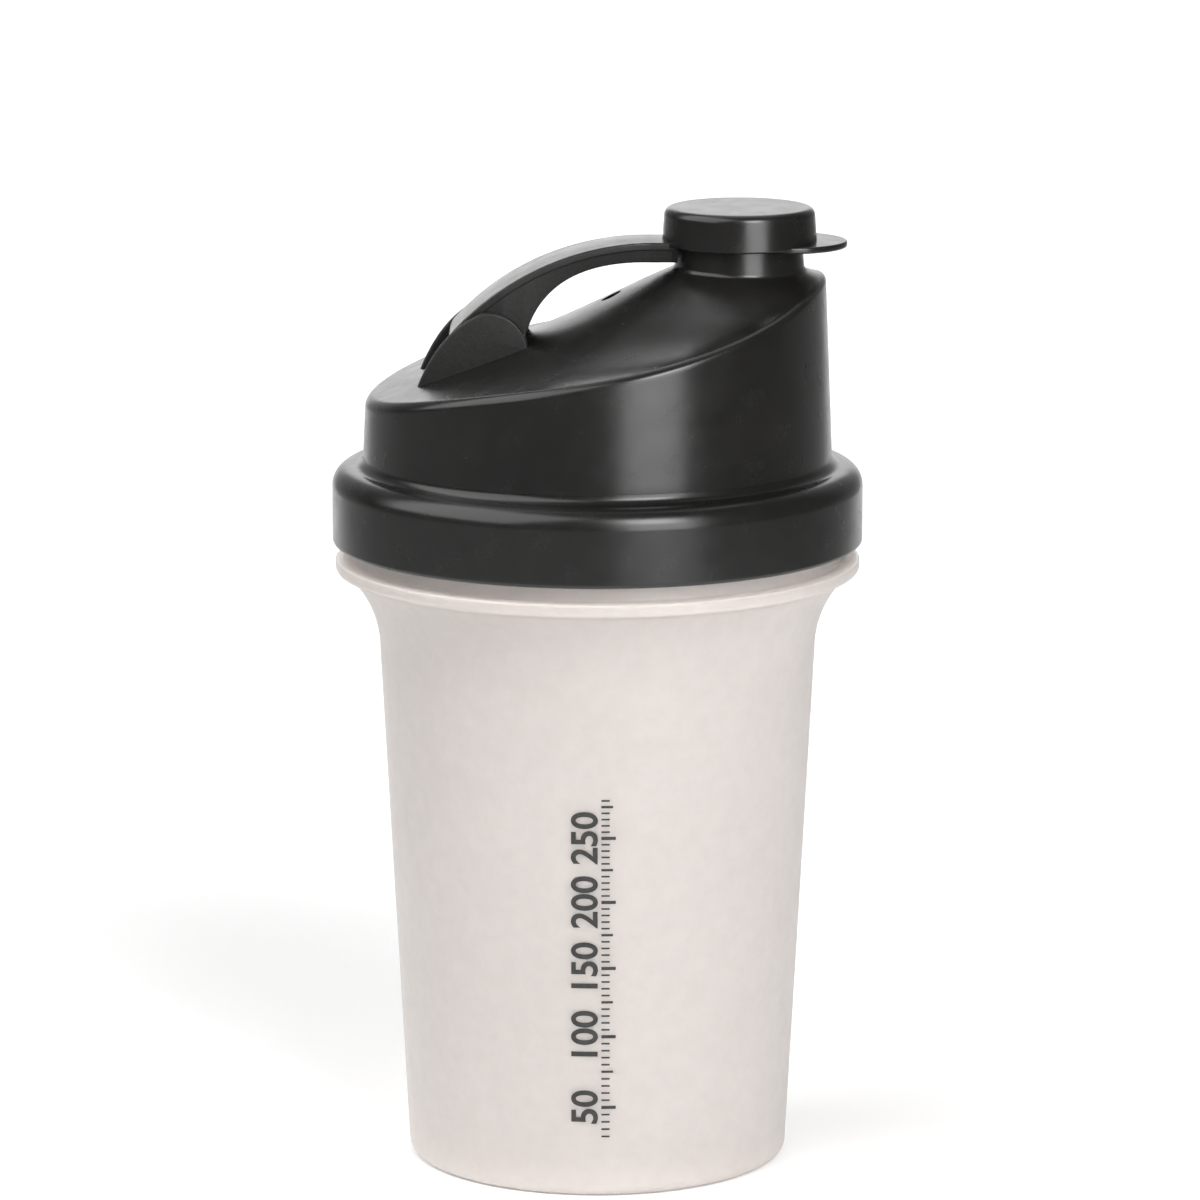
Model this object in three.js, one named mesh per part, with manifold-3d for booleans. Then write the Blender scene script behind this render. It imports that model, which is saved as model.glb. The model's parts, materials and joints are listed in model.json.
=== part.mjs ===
// Shaker cup with a screw lid, a flip cap over the lid's spout and a mixing strainer.
//
// Four moulded pieces, as they come apart on a bench:
//   cup       tapered beaker with a stop flange and a threaded neck
//   strainer  grid disc that snaps into the lid's sealing ring
//   lid       threaded skirt, sloping dome, spout, air hole and two hinge ears
//   flip_cap  cap, pull tab and arched arm on two trunnions
//
// Millimetres, +Z up. The origin is the centre of the base, and +X points to the spout.

import * as THREE from "three";
import { mergeVertices } from "three/addons/utils/BufferGeometryUtils.js";
import Module from "manifold-3d";

const wasm = await Module();
wasm.setup();

// ---------------------------------------------------------------- driving dimensions

// Fits
const contactGap = 0.3; // between two faces that rest on each other
const runningGap = 0.1; // radial, trunnion in its socket
const cutPast = 1.0; // how far a cutting solid runs past the face that it opens

// Cup
const baseRadius = 34.8;
const baseCorner = 2.0;
const footRingWidth = 7.0; // the ring that the cup stands on
const footRecess = 1.0; // how far the middle of the base is raised
const cupWall = 1.6;
const cupFloor = 2.0;
const bodyTaper = 0.0535; // radius gained for each millimetre of height
const flangeBottom = 109.6;
const flareHeight = 14.7; // the straight body sweeps out this far under the flange
const flangeThickness = 2.4;
const flangeLip = 1.8; // flat underside left outside the flare
const flangeInset = 0.5; // flange edge inside the lid's skirt
const flangeEdgeRound = 1.0; // under the flange's edge
const neckWall = 1.8;

// Screw thread
const threadPitch = 5.0;
const threadDepth = 1.3;
const threadGap = 0.4; // crest of the cup's thread to the skirt
const ridgeRootWidth = 2.2;
const ridgeCrestWidth = 1.0;
const ridgeSunk = 0.6; // how far a ridge starts inside its wall
const ridgeFade = 22.5; // degrees over which a ridge's end dies away
const ridgeEndSunk = 0.1; // crest of a ridge's very end inside its wall
const cupThreadTurn = 480; // degrees
const lidThreadTurn = 360;
const threadBelowRim = 2.2; // top end of the cup's thread below the rim
const threadAboveSkirtEdge = 1.6; // low end of the lid's thread above the skirt's edge

// Lid
const collarRadius = 48.5;
const collarAboveFlange = 3.0;
const collarHeight = 14.1;
const collarTopFillet = 3.65;
const collarEdge = 0.7;
const skirtWall = 1.8;
const lidWall = 1.8;
const sealRingWall = 1.4;
const sealRingDepth = 6.0;
const shoulderWidth = 2.0; // from the collar's fillet in to the dome's foot
const domeFootRise = 1.7; // the shoulder rises this much to the dome's foot
const domeDraft = 0.036; // radius lost for each millimetre of height
const domeRimFillet = 1.6;
const rimLow = 12.4; // height of the dome's rim over the collar, at the hinge side
const rimHigh = 35.4; // and at the spout side
const rimCurve = [0.405, 0.32, 0.095, 0.18]; // cubic that shares out the rim's rise
const crestBulge = 7.96; // crest over the rim, at the middle of the dome
const crestSkew = 1.69; // how much the crest grows towards the spout

// Spout and air hole
const spoutInset = 17.05; // axis of the spout inside the dome's foot
const spoutBore = 9.3; // radius
const spoutWall = 1.9; // at the lip
const spoutDraft = 0.6; // radius gained from the lip to the foot
const spoutStand = 5.24; // lip over the dome at the spout's axis
const spoutSunk = 16.9; // the spout's wall starts this far under the same point
const spoutLipRound = 0.9;
const ventX = 2.5;
const ventRadius = 1.8;

// Flip cap
const capAroundSpout = 1.2; // inside of the cap's skirt to the spout
const capSkirtWall = 1.7;
const capDraft = 0.4; // radius lost from the cap's open edge to its top
const capTopWall = 1.8;
const capTopFillet = 1.6;
const capAboveSpout = 1.2; // inside of the cap's top over the spout's lip
const capToDome = 1.44; // open edge of the cap over the dome at the spout's axis
const plugInBore = 0.4; // root of the sealing plug to the spout's bore
const plugDraft = 0.6; // radius lost from the plug's root to its tip
const plugWall = 1.3;
const plugDepth = 3.1;
const tabRadius = 10.8;
const tabOffset = 8.8; // centre of the tab's round end from the cap's axis
const tabThickness = 1.2;
const tabDrop = 0.5; // underside of the tab below the cap's edge

// Hinge and arm
const pivotInset = 19.05; // hinge axis inside the dome's foot
const barrelToDome = 0.81;
const barrelRadius = 3.3;
const trunnionRadius = 1.7;
const earSpread = 9.0; // inner face of each ear from the middle
const earThickness = 2.0;
const earBlindWall = 0.5; // left outside each trunnion's socket
const earArcRadius = 7.2;
const earArcX = 4.1; // centre of the ear's round front, from the pivot
const earArcZ = -1.3;
const earArcEnd = 100.4; // degrees, where the round front meets the sloping back edge
const earBackX = -8.8; // low end of the back edge, from the pivot
const earBackZ = -7.6;
const earBendX = -4.8; // control point of the back edge, from the pivot
const earBendZ = 2.5;
const armLevelRun = 4.1; // level stretch of the arm's top before the cap
const armWideX = 6.7; // where the arm reaches its full width, from the pivot
const armHalfWidthAtCap = 5.8;
const armPlate = 1.4;
const armTopAboveEdge = 0.9; // top of the arm over the cap's open edge
const armOverhang = 0.6; // plate edge outside the side webs
const armWeb = 1.5;
const armDepthAtCap = 3.7; // top of the arm to the underside of its webs
const armToSpout = 1.0;
const armFootX = 10.7; // front foot of the webs, from the pivot
const armToDome = 0.7; // least height of the webs over the dome
const armBendX = 14.3; // control point of the webs' underside, from the pivot
const armBendRise = 0.7; // and over the level stretch of that underside
const barrelWrap = 149; // degrees that the arm's end follows the hinge barrel

// Strainer
const strainerFloor = 1.6;
const strainerRimWall = 1.4;
const strainerHoleSide = 6.4;
const strainerHolePitch = 8.4;
const strainerLand = 1.5; // floor left whole inside the strainer's rim
const strainerEdge = 0.7; // bevel round the floor
const strainerBead = 0.6;
const strainerDrop = 1.3; // floor of the strainer below the end of the sealing ring
const beadBelowRingTop = 3.8;

// Facets
const roundSegments = 48;
const smallSegments = 24;
const ridgeStep = 7.5; // degrees between the sections of a ridge
const topRings = [0.17, 0.34, 0.5, 0.65, 0.79, 0.9]; // of the dome's top, as shares of its radius
const filletRings = 4;

// ---------------------------------------------------------------- sizes that follow

const skirtInner = collarRadius - skirtWall;
const cupThreadCrest = skirtInner - threadGap;
const neckRadius = cupThreadCrest - threadDepth;
const neckInner = neckRadius - neckWall;
const lidThreadCrest = neckRadius + contactGap;
const flangeRadius = collarRadius - flangeInset;
const flareStart = flangeBottom - flareHeight;
const flangeTop = flangeBottom + flangeThickness;

const collarBottom = flangeTop + collarAboveFlange;
const collarTop = collarBottom + collarHeight;
const plateUnderside = collarTop - lidWall;
const rimZ = plateUnderside - contactGap;
const cupThreadZ = rimZ - threadBelowRim - (threadPitch * cupThreadTurn) / 360;
const domeRadius = collarRadius - collarTopFillet - shoulderWidth; // at its foot

const sealRingOuter = neckInner - contactGap;
const sealRingInner = sealRingOuter - sealRingWall;
const sealRingEnd = plateUnderside - sealRingDepth;
const strainerRadius = sealRingInner - contactGap;
const strainerBeadZ = plateUnderside - beadBelowRingTop;

const spoutX = domeRadius - spoutInset;
const spoutRootZ = domeTopAt(spoutX);
const spoutTopZ = spoutRootZ + spoutStand;
const spoutTopRadius = spoutBore + spoutWall;
const spoutFootRadius = spoutTopRadius + spoutDraft;
const capInnerRadius = spoutTopRadius + capAroundSpout;
const capBottomRadius = capInnerRadius + capSkirtWall;
const capTopRadius = capBottomRadius - capDraft;
const plugRootRadius = spoutBore - plugInBore;
const plugTipRadius = plugRootRadius - plugDraft;
const capCeilingZ = spoutTopZ + capAboveSpout;
const capBottomZ = spoutRootZ + capToDome;
const capTopZ = capCeilingZ + capTopWall;

const pivotX = pivotInset - domeRadius;
const pivot = point(pivotX, domeTopAt(pivotX) + barrelToDome + barrelRadius);
const socketEnd = earSpread + earThickness - earBlindWall;
const armHalfWidthAtHinge = earSpread - contactGap;
const armCapEndX = spoutX - spoutTopRadius - armToSpout;
const armClearZ = domeTopAt(armCapEndX) + armToDome + armDepthAtCap;
const armTopZ = Math.max(capBottomZ + armTopAboveEdge, armClearZ);
const armArchX = armCapEndX - armLevelRun; // where the arm's top stops being level

// ---------------------------------------------------------------- solids

// A closed geometry as a manifold solid, with its shared corners merged.
function solidOf(geometry) {
  geometry.deleteAttribute("normal");
  geometry.deleteAttribute("uv");
  const merged = mergeVertices(geometry);
  const mesh = new wasm.Mesh({
    numProp: 3,
    vertProperties: new Float32Array(merged.attributes.position.array),
    triVerts: new Uint32Array(merged.index.array),
  });
  return new wasm.Manifold(mesh);
}

// Turns a profile of (radius, height) points about the vertical through x.
function revolve(points, x = 0, segments = roundSegments) {
  const geometry = new THREE.LatheGeometry(points, segments);
  return solidOf(geometry.rotateX(Math.PI / 2).translate(x, 0, 0));
}

// Extrudes an outline drawn in X and Z from y0 to y1.
function extrudeAcross(outline, y0, y1) {
  const shape = new THREE.Shape(outline);
  const options = { depth: y1 - y0, bevelEnabled: false, curveSegments: 1 };
  const geometry = new THREE.ExtrudeGeometry(shape, options);
  return solidOf(geometry.rotateX(Math.PI / 2).translate(0, y1, 0));
}

// Extrudes an outline drawn in X and Y from z0 to z1.
function extrudeUp(outline, z0, z1) {
  const shape = new THREE.Shape(outline);
  const options = { depth: z1 - z0, bevelEnabled: false, curveSegments: 1 };
  return solidOf(new THREE.ExtrudeGeometry(shape, options).translate(0, 0, z0));
}

function cylinderUp(radius, x, z0, z1, segments = smallSegments) {
  const geometry = new THREE.CylinderGeometry(radius, radius, z1 - z0, segments);
  return solidOf(geometry.rotateX(Math.PI / 2).translate(x, 0, (z0 + z1) / 2));
}

function cylinderAcross(radius, centre, y0, y1) {
  const geometry = new THREE.CylinderGeometry(radius, radius, y1 - y0, smallSegments);
  return solidOf(geometry.translate(centre.x, (y0 + y1) / 2, centre.y));
}

function point(x, y) {
  return new THREE.Vector2(x, y);
}

// The corners of a path, with one left out where two curves meet at the same point.
function cornersOf(path, divisions) {
  const corners = path.getPoints(divisions);
  return corners.filter((corner, i) => i === 0 || corner.distanceTo(corners[i - 1]) > 1e-4);
}

// A helical ridge: a trapezoid carried round the axis, fading out at both ends.
// wallRadius is the wall that it grows from, and its root lies a little inside that wall.
function threadRidge(wallRadius, crestRadius, startZ, startAngle, turn) {
  const steps = Math.round(turn / ridgeStep);
  const outward = Math.sign(crestRadius - wallRadius);
  const rootRadius = wallRadius - outward * ridgeSunk;
  const endRadius = wallRadius - outward * ridgeEndSunk;
  const corners = [];
  for (let i = 0; i <= steps; i++) {
    const turned = i * ridgeStep;
    const fade = Math.min(1, Math.min(turned, turn - turned) / ridgeFade);
    const reach = endRadius + (crestRadius - endRadius) * fade;
    const angle = THREE.MathUtils.degToRad(startAngle + turned);
    const z = startZ + (threadPitch * turned) / 360;
    const section = [
      [rootRadius, z - ridgeRootWidth / 2],
      [reach, z - ridgeCrestWidth / 2],
      [reach, z + ridgeCrestWidth / 2],
      [rootRadius, z + ridgeRootWidth / 2],
    ];
    for (const [radius, height] of section) {
      corners.push(radius * Math.cos(angle), radius * Math.sin(angle), height);
    }
  }
  const triangles = [];
  function quad(a, b, c, d) {
    triangles.push(a, b, c, a, c, d);
  }
  for (let i = 0; i < steps; i++) {
    for (let k = 0; k < 4; k++) {
      const here = 4 * i + k;
      const next = 4 * i + ((k + 1) % 4);
      quad(here, here + 4, next + 4, next);
    }
  }
  const last = 4 * steps;
  quad(0, 1, 2, 3);
  quad(last + 3, last + 2, last + 1, last);
  if (outward < 0) triangles.reverse();
  const geometry = new THREE.BufferGeometry();
  geometry.setAttribute("position", new THREE.Float32BufferAttribute(corners, 3));
  geometry.setIndex(triangles);
  return solidOf(geometry);
}

// ---------------------------------------------------------------- dome surface

// Height of the rim, as a share of its rise, at u from -1 (hinge side) to 1 (spout side).
function rimShare(u) {
  return rimCurve.reduceRight((sum, coefficient) => sum * u + coefficient);
}

// Height of the dome's top over the collar, on the unit disc at (rho, angle): the rim
// height at that x, and a bulge that falls from the crest to the rim as a cosine.
function domeHeight(rho, angle) {
  const u = rho * Math.cos(angle);
  const chord = Math.sqrt(Math.max(1 - u * u, 1e-9));
  const across = Math.min((rho * Math.abs(Math.sin(angle))) / chord, 1);
  const bulge = crestBulge * Math.pow(chord, 3) * Math.exp(crestSkew * u);
  return rimLow + (rimHigh - rimLow) * rimShare(u) + (bulge * (1 + Math.cos(Math.PI * across))) / 2;
}

function domeEdgeRadius(angle) {
  return domeRadius - domeDraft * domeHeight(1, angle);
}

// Height of the dome's top at x, in the plane through the spout and the hinge.
function domeTopAt(x) {
  const angle = x < 0 ? Math.PI : 0;
  return collarTop + domeHeight(Math.abs(x) / domeEdgeRadius(angle), angle);
}

// The dome as a closed solid, inset is how far its walls and top lie inside the outer ones.
function domeSolid(inset, footZ, fillet) {
  const rings = [];
  for (const rho of topRings) {
    rings.push((angle) => [rho, domeHeight(rho, angle)]);
  }
  const filletSteps = fillet > 0 ? filletRings : 0;
  for (let i = 0; i <= filletSteps; i++) {
    const a = ((i / Math.max(filletSteps, 1)) * Math.PI) / 2;
    rings.push((angle) => {
      const rho = 1 - (fillet * (1 - Math.sin(a))) / domeRadius;
      return [rho, domeHeight(rho, angle) - fillet * (1 - Math.cos(a))];
    });
  }
  const corners = [0, 0, collarTop + domeHeight(0, 0) - inset];
  for (const ring of rings) {
    for (let k = 0; k < roundSegments; k++) {
      const angle = (k / roundSegments) * 2 * Math.PI;
      const [rho, height] = ring(angle);
      const radius = rho * (domeEdgeRadius(angle) - inset);
      corners.push(radius * Math.cos(angle), radius * Math.sin(angle), collarTop + height - inset);
    }
  }
  for (let k = 0; k < roundSegments; k++) {
    const angle = (k / roundSegments) * 2 * Math.PI;
    const radius = domeRadius - inset;
    corners.push(radius * Math.cos(angle), radius * Math.sin(angle), footZ);
  }
  corners.push(0, 0, footZ);
  const bottom = corners.length / 3 - 1;
  const triangles = [];
  for (let k = 0; k < roundSegments; k++) {
    const next = (k + 1) % roundSegments;
    triangles.push(0, 1 + k, 1 + next);
    for (let i = 0; i < rings.length; i++) {
      const upper = 1 + i * roundSegments;
      const lower = upper + roundSegments;
      triangles.push(upper + k, lower + k, lower + next);
      triangles.push(upper + k, lower + next, upper + next);
    }
    const foot = 1 + rings.length * roundSegments;
    triangles.push(foot + k, bottom, foot + next);
  }
  const geometry = new THREE.BufferGeometry();
  geometry.setAttribute("position", new THREE.Float32BufferAttribute(corners, 3));
  geometry.setIndex(triangles);
  return solidOf(geometry);
}

// ---------------------------------------------------------------- cup

function bodyRadius(z) {
  return baseRadius + bodyTaper * z;
}

// The flare is one arc that leaves the body upright and meets the flange's lip.
const flareEnd = flangeRadius - flangeLip;
const flareWidth = flareEnd - bodyRadius(flareStart);
const flareRadius = (flareHeight ** 2 + flareWidth ** 2) / (2 * flareWidth);
const flareCentreR = bodyRadius(flareStart) + flareRadius;

function buildCup() {
  const recessRadius = baseRadius - baseCorner - footRingWidth;
  const outer = new THREE.Path();
  outer.moveTo(0, footRecess);
  outer.lineTo(recessRadius - footRecess, footRecess);
  outer.lineTo(recessRadius, 0);
  outer.lineTo(baseRadius - baseCorner, 0);
  outer.absarc(baseRadius - baseCorner, baseCorner, baseCorner, -Math.PI / 2, 0, false);
  outer.lineTo(bodyRadius(flareStart), flareStart);
  const flareTurn = Math.asin(flareHeight / flareRadius);
  outer.absarc(flareCentreR, flareStart, flareRadius, Math.PI, Math.PI - flareTurn, true);
  const edgeR = flangeRadius - flangeEdgeRound;
  outer.absarc(edgeR, flangeBottom + flangeEdgeRound, flangeEdgeRound, -Math.PI / 2, 0, false);
  outer.lineTo(flangeRadius, flangeTop);
  outer.lineTo(neckRadius, flangeTop);
  outer.lineTo(neckRadius, rimZ);
  // The inside runs back down, one wall in from the outside.
  const hollowRadius = flareRadius + cupWall;
  const neckTurn = Math.acos((flareCentreR - neckInner) / hollowRadius);
  const innerCorner = baseCorner + cupWall;
  const floorZ = footRecess + cupFloor;
  outer.lineTo(neckInner, rimZ);
  outer.absarc(flareCentreR, flareStart, hollowRadius, Math.PI - neckTurn, Math.PI, false);
  const innerWall = bodyRadius(floorZ + innerCorner) - cupWall;
  outer.lineTo(innerWall, floorZ + innerCorner);
  outer.absarc(innerWall - innerCorner, floorZ + innerCorner, innerCorner, 0, -Math.PI / 2, true);
  outer.lineTo(0, floorZ);
  const ridge = threadRidge(neckRadius, cupThreadCrest, cupThreadZ, 0, cupThreadTurn);
  return revolve(cornersOf(outer, 3)).add(ridge);
}

// ---------------------------------------------------------------- strainer

function buildStrainer() {
  const floorZ = sealRingEnd - strainerDrop;
  const topZ = plateUnderside - 2 * contactGap;
  const beadRadius = strainerRadius + strainerBead;
  const profile = [
    point(0, floorZ),
    point(strainerRadius - strainerEdge, floorZ),
    point(strainerRadius, floorZ + strainerEdge),
    point(strainerRadius, strainerBeadZ - strainerBead),
    point(beadRadius, strainerBeadZ),
    point(strainerRadius, strainerBeadZ + strainerBead),
    point(strainerRadius, topZ),
    point(strainerRadius - strainerRimWall, topZ),
    point(strainerRadius - strainerRimWall, floorZ + strainerFloor),
    point(0, floorZ + strainerFloor),
  ];
  let strainer = revolve(profile);
  const reach = strainerRadius - strainerRimWall - strainerLand;
  const count = Math.ceil(reach / strainerHolePitch);
  for (let i = -count; i <= count; i++) {
    for (let j = -count; j <= count; j++) {
      const x = i * strainerHolePitch;
      const y = j * strainerHolePitch;
      const farX = Math.abs(x) + strainerHoleSide / 2;
      const farY = Math.abs(y) + strainerHoleSide / 2;
      if (Math.hypot(farX, farY) > reach) continue;
      const hole = new THREE.BoxGeometry(strainerHoleSide, strainerHoleSide, 4 * strainerFloor);
      strainer = strainer.subtract(solidOf(hole.translate(x, y, floorZ)));
    }
  }
  return strainer;
}

// ---------------------------------------------------------------- lid

// The lid's outside up to the dome's foot, as a solid of revolution.
function collarOutside() {
  const path = new THREE.Path();
  path.moveTo(0, collarBottom);
  path.lineTo(collarRadius - collarEdge, collarBottom);
  path.lineTo(collarRadius, collarBottom + collarEdge);
  path.lineTo(collarRadius, collarTop - collarTopFillet);
  const filletR = collarRadius - collarTopFillet;
  path.absarc(filletR, collarTop - collarTopFillet, collarTopFillet, 0, Math.PI / 2, false);
  path.lineTo(domeRadius, collarTop + domeFootRise);
  path.lineTo(0, collarTop + domeFootRise);
  return revolve(cornersOf(path, 2));
}

// The space inside the skirt, with the sealing ring and its snap groove left standing.
function skirtSpace() {
  const below = collarBottom - cutPast;
  const grooveDepth = strainerBead;
  const grooveHalf = strainerBead + contactGap;
  return revolve([
    point(0, below),
    point(skirtInner, below),
    point(skirtInner, plateUnderside),
    point(sealRingOuter, plateUnderside),
    point(sealRingOuter, sealRingEnd),
    point(sealRingInner, sealRingEnd),
    point(sealRingInner, strainerBeadZ - grooveHalf),
    point(sealRingInner + grooveDepth, strainerBeadZ),
    point(sealRingInner, strainerBeadZ + grooveHalf),
    point(sealRingInner, plateUnderside),
    point(0, plateUnderside),
  ]);
}

// One ear's outline: a curved back edge, a round top, and a foot sunk in the dome.
function earOutline(sunkZ) {
  const path = new THREE.Path();
  const back = point(pivot.x + earBackX, pivot.y + earBackZ);
  const centre = point(pivot.x + earArcX, pivot.y + earArcZ);
  const arcEnd = THREE.MathUtils.degToRad(earArcEnd);
  path.moveTo(back.x, sunkZ);
  path.lineTo(centre.x + earArcRadius, sunkZ);
  path.absarc(centre.x, centre.y, earArcRadius, 0, arcEnd, false);
  path.quadraticCurveTo(pivot.x + earBendX, pivot.y + earBendZ, back.x, back.y);
  return cornersOf(path, 5);
}

function spoutOutside(footZ) {
  const path = new THREE.Path();
  path.moveTo(0, footZ);
  path.lineTo(spoutFootRadius, footZ);
  path.lineTo(spoutTopRadius, spoutTopZ - spoutLipRound);
  const lip = spoutTopRadius - spoutLipRound;
  path.absarc(lip, spoutTopZ - spoutLipRound, spoutLipRound, 0, Math.PI / 2, false);
  path.lineTo(0, spoutTopZ);
  return revolve(cornersOf(path, 2), spoutX);
}

function buildLid() {
  const spoutFootZ = spoutRootZ - spoutSunk;
  let outside = collarOutside().add(domeSolid(0, collarTop, domeRimFillet));
  outside = outside.add(spoutOutside(spoutFootZ));
  const ear = earOutline(collarTop + rimLow);
  for (const side of [-1, 1]) {
    const inner = side * earSpread;
    const outer = side * (earSpread + earThickness);
    outside = outside.add(extrudeAcross(ear, Math.min(inner, outer), Math.max(inner, outer)));
  }
  let lid = outside.subtract(domeSolid(lidWall, plateUnderside - cutPast, 0));
  lid = lid.subtract(skirtSpace());
  const boreFootZ = spoutFootZ - cutPast;
  const boreTopZ = spoutTopZ + cutPast;
  lid = lid.subtract(cylinderUp(spoutBore, spoutX, boreFootZ, boreTopZ, roundSegments));
  lid = lid.subtract(cylinderUp(ventRadius, ventX, collarTop + rimLow, boreTopZ));
  lid = lid.subtract(cylinderAcross(trunnionRadius + runningGap, pivot, -socketEnd, socketEnd));
  // The lid's ridge runs just under the cup's on the same helix, so the two screw together.
  const ridgeOffset = (ridgeRootWidth + ridgeCrestWidth) / 2 + contactGap;
  const startZ = collarBottom + threadAboveSkirtEdge;
  const startAngle = ((startZ + ridgeOffset - cupThreadZ) * 360) / threadPitch;
  return lid.add(threadRidge(skirtInner, lidThreadCrest, startZ, startAngle, lidThreadTurn));
}

// ---------------------------------------------------------------- flip cap

// The arm's top is level, then one arc that ends tangent to the hinge barrel.
const archDrop = armTopZ - pivot.y;
const archRun = armArchX - pivot.x;
const archSquares = archRun ** 2 + archDrop ** 2 - barrelRadius ** 2;
const archRadius = archSquares / (2 * (archDrop - barrelRadius));
const archCentre = point(armArchX, armTopZ - archRadius);
const archEnd = Math.atan2(pivot.y - archCentre.y, pivot.x - archCentre.x);

// Half-width of the arm's plate at x, widest between the ears.
function armHalfWidth(x) {
  const share = (armArchX - x) / (archRun - armWideX);
  const widening = armHalfWidthAtHinge - armHalfWidthAtCap;
  return armHalfWidthAtCap + widening * THREE.MathUtils.clamp(share, 0, 1);
}

// Plan of the arm, inset from its edge.
function armPlan(inset) {
  const stations = [spoutX, armArchX, pivot.x + armWideX, pivot.x - 2 * barrelRadius];
  const near = stations.map((x) => point(x, -armHalfWidth(x) + inset));
  const far = stations.map((x) => point(x, armHalfWidth(x) - inset)).reverse();
  return [...near, ...far].reverse();
}

// Side view of the arm down to the underside of its webs, depth below its top surface.
function armSide(depth) {
  const path = new THREE.Path();
  const footX = pivot.x + armFootX;
  const undersideZ = armTopZ - armDepthAtCap;
  const wrapEnd = archEnd + THREE.MathUtils.degToRad(barrelWrap);
  path.moveTo(armCapEndX, armTopZ - depth);
  path.lineTo(armArchX, armTopZ - depth);
  path.absarc(archCentre.x, archCentre.y, archRadius - depth, Math.PI / 2, archEnd, false);
  path.absarc(pivot.x, pivot.y, barrelRadius - depth, archEnd, wrapEnd, false);
  path.lineTo(footX, domeTopAt(footX) + armToDome);
  path.quadraticCurveTo(pivot.x + armBendX, undersideZ + armBendRise, armArchX, undersideZ);
  path.lineTo(armCapEndX, undersideZ);
  return cornersOf(path, 6).reverse();
}

// The arm's top plate alone. Its low end lies inside the hinge barrel.
function armPlateSide() {
  const path = new THREE.Path();
  path.moveTo(spoutX, armTopZ);
  path.lineTo(armArchX, armTopZ);
  path.absarc(archCentre.x, archCentre.y, archRadius, Math.PI / 2, archEnd, false);
  path.absarc(archCentre.x, archCentre.y, archRadius - armPlate, archEnd, Math.PI / 2, true);
  path.lineTo(spoutX, armTopZ - armPlate);
  return cornersOf(path, 6).reverse();
}

function capShell() {
  const path = new THREE.Path();
  path.moveTo(0, capCeilingZ);
  path.lineTo(plugRootRadius - plugWall, capCeilingZ);
  path.lineTo(plugTipRadius - plugWall, capCeilingZ - plugDepth);
  path.lineTo(plugTipRadius, capCeilingZ - plugDepth);
  path.lineTo(plugRootRadius, capCeilingZ);
  path.lineTo(capInnerRadius, capCeilingZ);
  path.lineTo(capInnerRadius, capBottomZ);
  path.lineTo(capBottomRadius, capBottomZ);
  path.lineTo(capTopRadius, capTopZ - capTopFillet);
  path.absarc(capTopRadius - capTopFillet, capTopZ - capTopFillet, capTopFillet, 0, Math.PI / 2, false);
  path.lineTo(0, capTopZ);
  return revolve(cornersOf(path, 2), spoutX);
}

function buildFlipCap() {
  const wide = armHalfWidthAtHinge + cutPast;
  const top = armTopZ + cutPast;
  const low = pivot.y - 2 * barrelRadius;
  const webs = extrudeAcross(armSide(0), -wide, wide)
    .intersect(extrudeUp(armPlan(armOverhang), low, top));
  const core = extrudeAcross(armSide(armPlate), -wide, wide)
    .intersect(extrudeUp(armPlan(armOverhang + armWeb), low, top));
  const plate = extrudeAcross(armPlateSide(), -wide, wide)
    .intersect(extrudeUp(armPlan(0), low, top));
  const tabZ = capBottomZ - tabDrop;
  const tab = cylinderUp(tabRadius, spoutX + tabOffset, tabZ, tabZ + tabThickness, roundSegments);
  const spoutSpace = cylinderUp(capInnerRadius, spoutX, low, capCeilingZ, roundSegments);
  const outside = webs.subtract(core).add(plate).add(tab).subtract(spoutSpace);
  const barrel = cylinderAcross(barrelRadius, pivot, -armHalfWidthAtHinge, armHalfWidthAtHinge);
  const trunnionEnd = socketEnd - contactGap;
  const trunnions = cylinderAcross(trunnionRadius, pivot, -trunnionEnd, trunnionEnd);
  return capShell().add(outside).add(barrel).add(trunnions);
}

// ---------------------------------------------------------------- assembly

const blackPlastic = new THREE.MeshStandardMaterial({ color: 0x1d1d1c, roughness: 0.42, metalness: 0 });
const frostedPlastic = new THREE.MeshStandardMaterial({ color: 0xe2dcd6, roughness: 0.5, metalness: 0 });

function piece(name, solid, material) {
  const mesh = solid.getMesh();
  const geometry = new THREE.BufferGeometry();
  geometry.setAttribute("position", new THREE.BufferAttribute(mesh.vertProperties, 3));
  geometry.setIndex(new THREE.BufferAttribute(mesh.triVerts, 1));
  geometry.computeVertexNormals();
  const part = new THREE.Mesh(geometry, material.clone());
  part.name = name;
  return part;
}

const shaker = new THREE.Group();
shaker.add(piece("cup", buildCup(), frostedPlastic));
shaker.add(piece("strainer", buildStrainer(), blackPlastic));
shaker.add(piece("lid", buildLid(), blackPlastic));
shaker.add(piece("flip_cap", buildFlipCap(), blackPlastic));

export default shaker;
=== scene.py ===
# %% [markdown]
# # A shaker cup with a flip cap
# The cup is a frosted beaker with a black screw lid. The lid has a sloping dome, a spout,
# and a cap on an arched arm that swings on two ears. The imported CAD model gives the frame:
# its bodies, its joints and the box of each piece. Every surface below is built around it.

# %% The frame
import json
import math

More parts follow.
